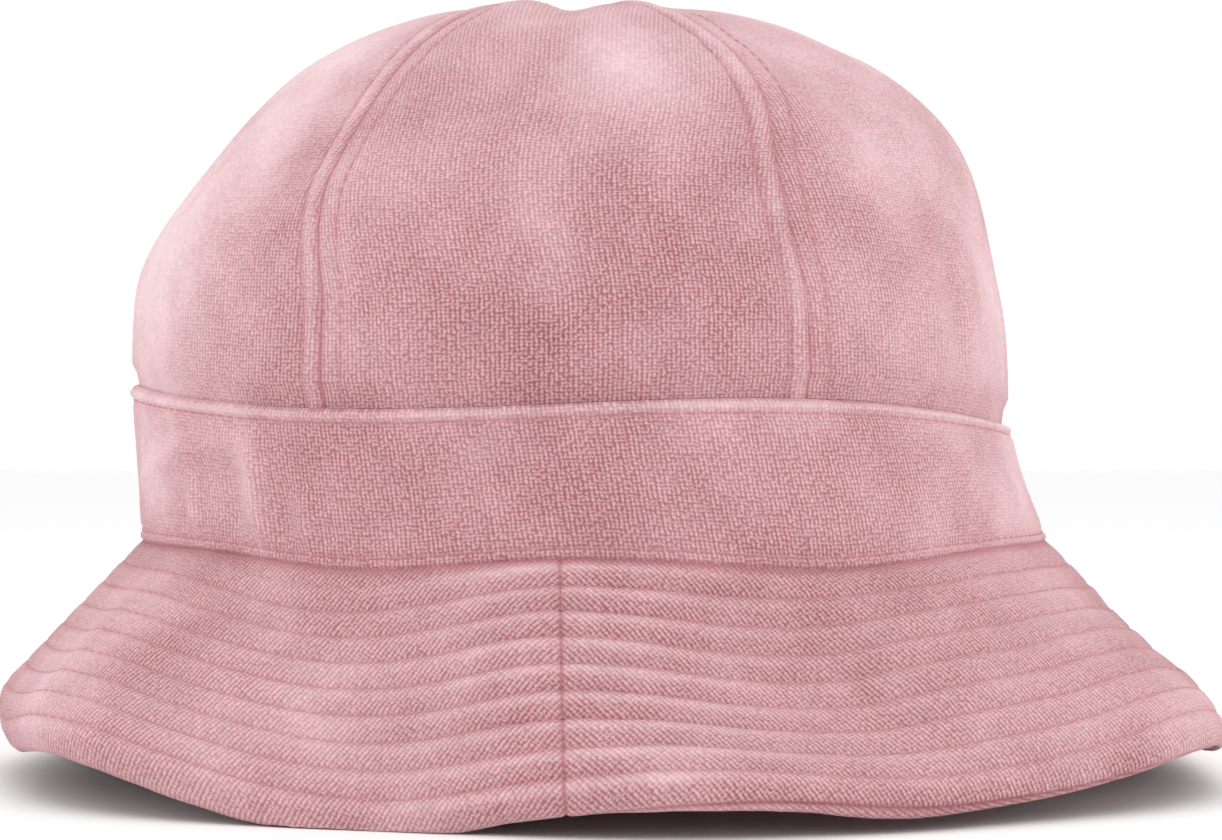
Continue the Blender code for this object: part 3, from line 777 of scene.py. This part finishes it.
# ---- Materials ----
class Nodes:
    """Short forms for building a material's nodes."""

    def __init__(self, name):
        """Starts a new material of its own."""
        self.material = bpy.data.materials.new(name)
        self.material.use_nodes = True
        self.tree = self.material.node_tree
        self.shader = self.tree.nodes["Principled BSDF"]

    def fill(self, node, **settings):
        """Gives a node's inputs numbers or outputs and sets its options. _ stands for a space."""
        for name, value in settings.items():
            socket = node.inputs.get(name.replace("_", " "))
            if socket is None:
                setattr(node, name, value)
            else:
                self.feed(socket, value)
        return node

    def feed(self, socket, value):
        """Joins an input to an output, or sets its value."""
        if isinstance(value, bpy.types.NodeSocket):
            self.tree.links.new(value, socket)
        else:
            socket.default_value = value

    def add(self, kind, **settings):
        """A new node with some settings and inputs."""
        return self.fill(self.tree.nodes.new("ShaderNode" + kind), **settings)

    def surface(self, **values):
        """Sets or joins the shader's own inputs."""
        self.fill(self.shader, **values)

    def math(self, operation, *values, kind="Math"):
        """The result of a Math node; each value is an output or a number."""
        node = self.add(kind, operation=operation)
        for socket, value in zip(node.inputs, values):
            self.feed(socket, value)
        return node.outputs[0]

    def vector(self, operation, *values):
        """The result of a Vector Math node; each value is an output or three numbers."""
        return self.math(operation, *values, kind="VectorMath")

    def noise(self, place, scale, detail, roughness=0.5):
        """A noise texture at a place."""
        return self.add("TexNoise", Vector=place, Scale=scale, Detail=detail, Roughness=roughness)

    def mix(self, factor, first, second, blend="MIX"):
        """A colour Mix node; colours are outputs or three numbers."""
        node = self.add("Mix", data_type="RGBA", blend_type=blend)
        for number, value in ((0, factor), (6, first), (7, second)):
            self.feed(node.inputs[number], (*value, 1) if isinstance(value, tuple) else value)
        return node.outputs[2]

    def bump(self, height, distance, strength):
        """Gives the shader a fine relief."""
        relief = self.add("Bump", Height=height, Distance=distance, Strength=strength)
        self.surface(Normal=relief.outputs[0])


def weave_place(nodes, *wanders):
    """Weave coordinates in metres, plain and made to wander by some (features per metre, distance)."""
    plain = place = nodes.add("UVMap", uv_map="weave").outputs[0]
    for scale, distance in wanders:
        noise = nodes.noise(plain, scale, 2.0)
        centred = nodes.vector("SUBTRACT", noise.outputs["Color"], (0.5, 0.5, 0.5))
        place = nodes.vector("MULTIPLY_ADD", centred, (distance, distance, 0), place)
    return plain, place


def terry_loops(nodes, wale_share, loop_share):
    """The plain weave coordinates, the loops' own texture and the height of the pile of towelling."""
    plain, place = weave_place(nodes, (260.0, 0.0005), (1100.0, 0.0005))
    cells = nodes.vector("MULTIPLY", place, (1 / WALE, 1 / COURSE, 1))
    loops = nodes.add("TexVoronoi", voronoi_dimensions="2D", Vector=cells, Scale=1.0, Randomness=0.42)
    dome = nodes.math("SUBTRACT", 1.0, nodes.math("MULTIPLY", loops.outputs["Distance"], 1.7))
    across = nodes.add("SeparateXYZ", Vector=cells).outputs[0]
    rib = nodes.math("ABSOLUTE", nodes.math("SINE", nodes.math("MULTIPLY", across, math.pi)))
    fibre = nodes.noise(plain, 2700.0, 3.0, 0.75)
    height = nodes.math("MULTIPLY_ADD", rib, wale_share, nodes.math("MULTIPLY", dome, loop_share))
    return plain, loops, nodes.math("MULTIPLY_ADD", fibre.outputs["Fac"], 1.6, height)


def terry_material(name, wale_share, loop_share):
    """Terry towelling: small loops painted lighter at their tips and darker between them as painted
    highlight and painted shade, paler and flatter where worn and where painted light is laid on.
    """
    nodes = Nodes(name)
    plain, loops, height = terry_loops(nodes, wale_share, loop_share)
    # painted highlight on the loop tips and painted shade between them, by the pile's height
    lit_tip_share = nodes.add(
        "MapRange",
        interpolation_type="SMOOTHSTEP",
        Value=height,
        From_Min=0.62 + 0.3 * wale_share + 0.35 * loop_share,
        From_Max=1.17 + 0.7 * wale_share + 0.35 * loop_share,
    )
    colour = nodes.mix(lit_tip_share.outputs[0], SHADED_LOOP_GAP_PINK, LIT_LOOP_TIP_PINK)
    # pale where worn and where painted light is laid on; negative patches lay painted shade
    wear_and_light = nodes.add("Attribute", attribute_name="wear_and_painted_light").outputs["Fac"]
    colour = nodes.mix(nodes.math("MULTIPLY", wear_and_light, 0.95), colour, WORN_AND_LIT_PINK)
    patch = nodes.noise(plain, 70.0, 4.0, 0.6)
    each = nodes.math("MULTIPLY_ADD", loops.outputs["Color"], 0.2, 0.9)
    wear = nodes.math("MULTIPLY_ADD", patch.outputs["Fac"], 0.24, 0.88)
    tone = nodes.math("MULTIPLY", each, wear)
    shade = nodes.add("CombineColor", Red=tone, Green=tone, Blue=tone)
    colour = nodes.mix(1.0, colour, shade.outputs[0], "MULTIPLY")
    # painted shade: seams, furrows and grooves darkened towards deep pink
    crease_shade = nodes.add("Attribute", attribute_name="crease_shade").outputs["Fac"]
    colour = nodes.mix(nodes.math("MULTIPLY", crease_shade, 0.7), colour, CREASE_SHADE_PINK)
    nodes.bump(height, 0.0005, nodes.math("MULTIPLY_ADD", wear_and_light, -0.75, 0.9))
    nodes.surface(Base_Color=colour, Roughness=0.95, Specular_IOR_Level=0.1)
    nodes.surface(Sheen_Weight=0.28, Sheen_Roughness=0.5, Sheen_Tint=SHEEN_TINT)
    return nodes.material


def twill_wave(nodes, place, scale):
    """Fine slanting bands at a place."""
    return nodes.add("TexWave", bands_direction="DIAGONAL", Vector=place, Scale=scale).outputs["Fac"]


def twill_material(name, base, dark, size, roughness=0.8):
    """Flat woven cotton with a fine diagonal twill."""
    nodes = Nodes(name)
    plain, place = weave_place(nodes, (260.0, 0.0003))
    fibre = nodes.noise(plain, 3500.0, 3.0).outputs["Fac"]
    patch = nodes.noise(plain, 60.0, 3.0).outputs["Fac"]
    height = nodes.math("MULTIPLY_ADD", fibre, 0.5, twill_wave(nodes, place, 1 / size))
    mixed = nodes.math("MULTIPLY_ADD", patch, 0.4, nodes.math("MULTIPLY", height, 0.5))
    nodes.bump(height, 0.00012, 0.5)
    nodes.surface(Base_Color=nodes.mix(mixed, dark, base), Roughness=roughness)
    nodes.surface(Specular_IOR_Level=0.2, Sheen_Weight=0.25)
    return nodes.material


def thread_material():
    """Twisted sewing thread."""
    nodes = Nodes("sewing_thread")
    place = nodes.add("TexCoord").outputs["Object"]
    noise = nodes.noise(place, 900.0, 3.0).outputs["Fac"]
    darker = tuple(0.75 * value for value in THREAD_PINK)
    nodes.bump(twill_wave(nodes, place, 1800.0), 0.00005, 0.4)
    nodes.surface(Base_Color=nodes.mix(noise, darker, THREAD_PINK))
    nodes.surface(Roughness=0.8, Specular_IOR_Level=0.1)
    return nodes.material


# ---- Pieces ----
PANELS = ["front", "front_right", "back_right", "back", "back_left", "front_left"]


def make_crown(terry, cotton, thread):
    """Six gores with the tape inside each seam and the double row of stitches beside it."""
    tuck = np.linspace(TUCK_BOTTOM, 0, TUCK_ROWS + 1)[:-1]
    rows = np.concatenate([tuck, np.linspace(0, 1, CROWN_ROWS) * crown_way(CROWN_TIP_RADIUS)])
    columns = round(2 * HALF_PANEL * crown_radius(0) / CROWN_CELL)
    share = np.linspace(-1, 1, columns + 1)
    # columns crowd towards the seams, where the relief is finest
    share = share + 0.1 * np.sin(np.pi * share)
    share, way = np.meshgrid(share, rows)
    up = run_along(crown_base(np.zeros(len(rows)), rows))
    for i, name in enumerate(PANELS):
        centre = 2 * HALF_PANEL * i
        angle = centre + share * HALF_PANEL
        points = crown_skin(centre, angle, way)
        across = share * HALF_PANEL * crown_radius(way)
        weave = np.stack([across, np.broadcast_to(up[:, None], way.shape)], -1)
        crease_shade = crown_crease_shade(centre, angle, way)
        base = crown_base(angle, way)
        # painted highlight over the crown's top
        wear_and_light = wear_and_painted_light(base, angle, way, CROWN_WEAR_AND_LIGHT) + TOP_HIGHLIGHT * ease(base[..., 2], 0.13, 0.149)
        # painted highlight on the raised strip beside the seam
        wear_and_light = wear_and_light + STRIP_HIGHLIGHT * crown_strip_highlight(centre, angle, way)
        out = normals(crown_base, angle, way)
        piece = cloth_piece(f"crown_{name}", points, out, weave, TERRY, crease_shade, np.clip(wear_and_light, 0, 1))
        finish_piece(piece, terry, "crown_terry", f"crown_panel_{name}")
        make_crown_seam(name, centre, cotton, thread)


def make_crown_seam(name, centre, cotton, thread):
    """The tape and the two rows of stitches of the seam past the named panel, going round."""
    seam = centre + HALF_PANEL
    ways = np.linspace(TOPSTITCH_START, crown_way(TOPSTITCH_END_RADIUS), 160)
    for side, offset, panel in (("near", -1, centre), ("far", 1, centre + 2 * HALF_PANEL)):
        angles = seam + offset * TOPSTITCH_OFFSET / crown_radius(ways)
        skin = functools.partial(crown_skin, panel)
        row = stitches_along(f"crown_stitches_{name}_{side}", skin, angles, ways)
        finish_piece(row, thread, "thread", f"crown_topstitch_{name}_{side}")
    rows = np.linspace(TAPE_START, crown_way(TAPE_END_RADIUS), TAPE_GRID[1])
    share, way = np.meshgrid(np.linspace(-1, 1, TAPE_GRID[0]), rows)
    angle = seam + share * TAPE_HALF_WIDTH / crown_radius(way)
    out = normals(crown_base, angle, way)
    base = crown_base(angle, way)
    bulge = 0.0002 * np.cos(share * np.pi / 2) + 0.0001 * smooth_noise(base, 0.006, 41)
    hollow = 0.00025 * dip(np.abs(share) - 0.78, 0.1)
    points = base - out * (TERRY + 0.0007 + bulge - hollow)[..., None]
    weave = np.stack([share * TAPE_HALF_WIDTH, way * 0.12], -1)
    piece = cloth_piece(f"tape_{name}", points, out, weave, TAPE)
    finish_piece(piece, cotton, "seam_tape", f"seam_tape_{name}")


def make_band(terry, thread):
    """The side band with a folded, stitched edge above and below."""
    columns = round(2 * math.pi * BAND_WEAVE_RADIUS / (BAND_CELL_SHAPE * BAND_CELL))
    rows = round(BAND_HEIGHT / BAND_CELL * BAND_CELL_SHAPE)
    angle, rise = np.meshgrid(np.radians(np.linspace(-179.9, 179.9, columns)), np.linspace(0, 1, rows))
    weave = np.stack([angle * BAND_WEAVE_RADIUS, rise * BAND_HEIGHT], -1)
    # paler along the ridge just below the band's top edge
    pale_upper_ridge = dip((1 - rise) * BAND_HEIGHT - EDGE_RIDGE_INSET, 0.0009)
    wear_and_light = wear_and_painted_light(band_base(angle, rise), angle, rise, BAND_WEAR_AND_LIGHT) + BAND_WEAR + UPPER_RIDGE_PALING * pale_upper_ridge
    wear_and_light = np.clip(wear_and_light, 0, 1)
    crease_shade = band_crease_shade(rise)
    out = normals(band_base, angle, rise)
    piece = cloth_piece("band_cloth", band_skin(angle, rise), out, weave, TERRY, crease_shade, wear_and_light)
    finish_piece(piece, terry, "band_terry", "side_band")
    ring = np.radians(np.linspace(-179.5, 179.5, 900))
    inset = EDGE_STITCH_INSET / BAND_HEIGHT
    for name, rise in (("lower", inset), ("upper", 1 - inset)):
        row = stitches_along(f"band_stitches_{name}", band_skin, ring, np.full(len(ring), rise), 0.0001)
        finish_piece(row, thread, "thread", f"band_{name}_edge_stitch")


def bias_weave(angle, along, side):
    """Weave coordinates of a brim half cut on the bias, from its flat pattern."""
    slope = math.cos(math.radians(BRIM_SLOPE))
    radius = SEAM_HALF_WIDTH / slope + along
    turn = (angle - math.radians(BRIM_SEAM_ANGLE)) * slope
    x, y = radius * np.sin(turn), -radius * np.cos(turn)
    return np.stack([(x + side * y) / math.sqrt(2), (x - side * y) / math.sqrt(2)], -1)


def make_brim(terry, canvas, thread):
    """The brim's halves: upper cloth, interlining and under cloth, and the quilting stitches."""
    columns = round(math.pi * BRIM_OUTER_RADIUS / BRIM_CELL)
    near = np.array(BRIM_SEAM_COLUMNS) / (math.pi * BRIM_OUTER_RADIUS)
    share = np.sort(np.concatenate([np.linspace(0, 1, columns + 1), near, 1 - near]))
    tops = np.concatenate([[-0.0012, -0.0006], np.linspace(0, BRIM_WIDTH, BRIM_ROWS)])
    rolls = np.linspace(0, 1, ROLL_ROWS + 1)[:, None]
    for name, start, side in (("right", BRIM_SEAM_ANGLE, 1), ("left", BRIM_SEAM_ANGLE + 180, -1)):
        angles = math.radians(start) + BRIM_SEAM_GAP + share * (math.pi - 2 * BRIM_SEAM_GAP)
        signed = wrap(angles) if side < 0 else angles
        end = BRIM_WIDTH + EDGE_RADIUS * edge_seam(angles)
        rolled = rolls[1:] * (end - BRIM_WIDTH)[None] + BRIM_WIDTH
        way = np.concatenate([np.broadcast_to(tops[:, None], (len(tops), len(angles))), rolled])
        angle = np.broadcast_to(angles, way.shape)
        weave = bias_weave(np.broadcast_to(signed, way.shape), way, side)
        piece = brim_cloth(f"brim_top_{name}", angle, way, weave)
        finish_piece(piece, terry, "brim_terry", f"brim_upper_{name}")
        finish = BRIM_WIDTH + ROLL_LENGTH
        rolled = end[None] + EDGE_SEAM_GAP + rolls * (finish - end - EDGE_SEAM_GAP)[None]
        under = finish + np.linspace(0, 1, UNDER_BRIM_ROWS + 1)[1:] * (BRIM_WIDTH - UNDER_BRIM_INSET)
        way = np.concatenate([rolled, np.broadcast_to(under[:, None], (len(under), len(angles)))])
        angle = np.broadcast_to(angles, way.shape)
        along = 2 * BRIM_WIDTH + ROLL_LENGTH - way
        weave = bias_weave(np.broadcast_to(signed, way.shape), along, -side)
        piece = brim_cloth(f"brim_under_cloth_{name}", angle, way, weave)
        finish_piece(piece, terry, "under_brim_terry", f"brim_under_{name}")
        make_interlining(name, np.linspace(angles[0], angles[-1], INTERLINING_GRID[0]), canvas)
    ring = math.radians(BRIM_SEAM_ANGLE) + np.linspace(0.004, 2 * math.pi - 0.004, 1400)
    for k in range(STITCH_ROWS):
        row = stitches_along(f"brim_stitches_{k + 1}", brim_skin, ring, ring_way(ring, k)[0])
        finish_piece(row, thread, "thread", f"brim_stitch_row_{k + 1}")


def brim_cloth(name, angle, way, weave):
    """One layer of the brim over a grid of angles and ways."""
    along = brim_along(way)
    wear_and_light = wear_and_painted_light(brim_base(angle, way), angle, along / BRIM_WIDTH, BRIM_WEAR_AND_LIGHT)
    # painted highlight on the upper half of each quilted channel
    wear_and_light = np.clip(wear_and_light + brim_top_highlights(angle, along) - 0.06, 0, 1)
    out = -normals(brim_base, angle, way)
    return cloth_piece(name, brim_skin(angle, way), out, weave, TERRY, brim_crease_shade(angle, way), wear_and_light)


def make_interlining(name, angles, canvas):
    """The stiff layer inside a brim half."""
    angle, along = np.meshgrid(angles, np.linspace(0.001, 0.95 * BRIM_WIDTH, INTERLINING_GRID[1]))
    points = brim_base(angle, along, TERRY + GAP)
    weave = np.stack([angle * 0.1, along], -1)
    out = -normals(brim_base, angle, along)
    piece = cloth_piece(f"interlining_{name}", points, out, weave, INTERLINING)
    finish_piece(piece, canvas, "interlining", f"brim_interlining_{name}")


def band_layer(name, angle, rise, depth, lift, thickness):
    """A plain sheet at a depth inside the band, lifted a little here and there."""
    out = normals(band_base, angle, rise)
    points = band_base(angle, rise, depth) + out * lift[..., None]
    weave = np.stack([angle * SWEATBAND_RADIUS, rise * BAND_HEIGHT], -1)
    return cloth_piece(name, points, out, weave, thickness)


def make_sweatband(cotton):
    """The band against the forehead, with a sunken line along each edge. Its join is at one side."""
    depth = 2 * (TERRY + GAP)
    turns = np.radians(np.linspace(90.1, 449.9, SWEATBAND_GRID[0]))
    angle, rise = np.meshgrid(turns, np.linspace(SWEATBAND_BOTTOM, SWEATBAND_TOP, SWEATBAND_GRID[1]))
    base = band_base(angle, rise, depth)
    pull = 0.00035 * smooth_noise(base, 0.014, 51) + 0.0001 * smooth_noise(base, 0.004, 52)
    for edge in (SWEATBAND_BOTTOM + 0.07, SWEATBAND_TOP - 0.07):
        pull = pull + 0.00025 * dip((rise - edge) * BAND_HEIGHT, 0.0005)
    piece = band_layer("sweatband_cloth", angle, rise, depth, pull, SWEATBAND)
    finish_piece(piece, cotton, "sweatband_cotton", "sweatband")


def make_label(label):
    """The blank label at the back of the sweatband, its two ends drawn down by their stitches."""
    turns = np.radians(np.linspace(180 - LABEL_HALF_WIDTH, 180 + LABEL_HALF_WIDTH, LABEL_GRID[0]))
    angle, rise = np.meshgrid(turns, np.linspace(LABEL_BOTTOM, LABEL_TOP, LABEL_GRID[1]))
    depth = 2 * (TERRY + GAP) + SWEATBAND + GAP
    ends = 0.0003 * ease(np.abs(angle - math.pi), math.radians(6.4), math.radians(LABEL_HALF_WIDTH))
    piece = band_layer("blank_label", angle, rise, depth, ends, LABEL)
    finish_piece(piece, label, "label", "inside_label")


# ---- Stage, lights and camera, in metres, watts and millimetres ----
FLOOR_SIZE = 8
FLOOR_WHITE = (0.96, 0.96, 0.96, 1)
CAMERA_DISTANCE = 0.7
CAMERA_HEIGHT = 0.0704
CAMERA_LENS = 100.2
LAMP_TARGET = (0, 0, 0.08)
# Each lamp's name, place, size and power.
LAMPS = [
    ("key_left", (-1.1, -0.15, 0.2), 0.8, 2.6),
    ("fill_right", (1.1, -0.2, 0.2), 0.7, 2.5),
    ("top", (0.05, 0.05, 1.1), 0.7, 0.8),
    ("front", (0.1, -1.0, 1.2), 0.8, 2.9),
]


def make_floor():
    """A wide pale floor."""
    bpy.ops.mesh.primitive_plane_add(size=FLOOR_SIZE, location=(0, 0, -0.0001))
    floor = bpy.context.object
    floor.name = "floor"
    nodes = Nodes("pale_floor")
    nodes.surface(Base_Color=FLOOR_WHITE, Roughness=0.9, Specular_IOR_Level=0.1)
    floor.data.materials.append(nodes.material)


def add_light(name, place, size, power):
    """A soft square lamp aimed at the hat."""
    data = bpy.data.lights.new(name, "AREA")
    data.size = size
    data.energy = power
    lamp = add_object(name, data)
    lamp.location = place
    aim = Vector(LAMP_TARGET) - lamp.location
    lamp.rotation_euler = aim.to_track_quat("-Z", "Y").to_euler()


def make_lights():
    """Soft studio light from the left, the right, above and the front."""
    world = bpy.data.worlds.new("studio")
    world.use_nodes = True
    back = world.node_tree.nodes["Background"]
    back.inputs["Color"].default_value = (1, 1, 1, 1)
    back.inputs["Strength"].default_value = 1.0
    bpy.context.scene.world = world
    for name, place, size, power in LAMPS:
        add_light(name, place, size, power)
    bpy.context.scene.view_settings.view_transform = "Standard"


def make_camera():
    """A level camera in front of the hat, a short telephoto."""
    data = bpy.data.cameras.new("camera")
    data.sensor_width = 36
    data.lens = CAMERA_LENS
    camera = add_object("camera", data)
    camera.location = (0, -CAMERA_DISTANCE, CAMERA_HEIGHT)
    camera.rotation_euler = (math.radians(90), 0, 0)
    bpy.context.scene.camera = camera


terry = terry_material("terry_towelling", 0.55, 0.8)
brim_terry = terry_material("ribbed_terry", 0.76, 0.7)
cotton = twill_material("cotton_twill", COTTON_PINK, (0.5, 0.25, 0.27), 0.004)
canvas = twill_material("interlining_canvas", CANVAS, (0.55, 0.5, 0.43), 0.003, 0.9)
label = twill_material("woven_label", LABEL_WHITE, (0.66, 0.62, 0.57), 0.002, 0.6)
thread = thread_material()
make_crown(terry, cotton, thread)
make_band(terry, thread)
make_brim(brim_terry, canvas, thread)
make_sweatband(cotton)
make_label(label)
make_floor()
make_lights()
make_camera()
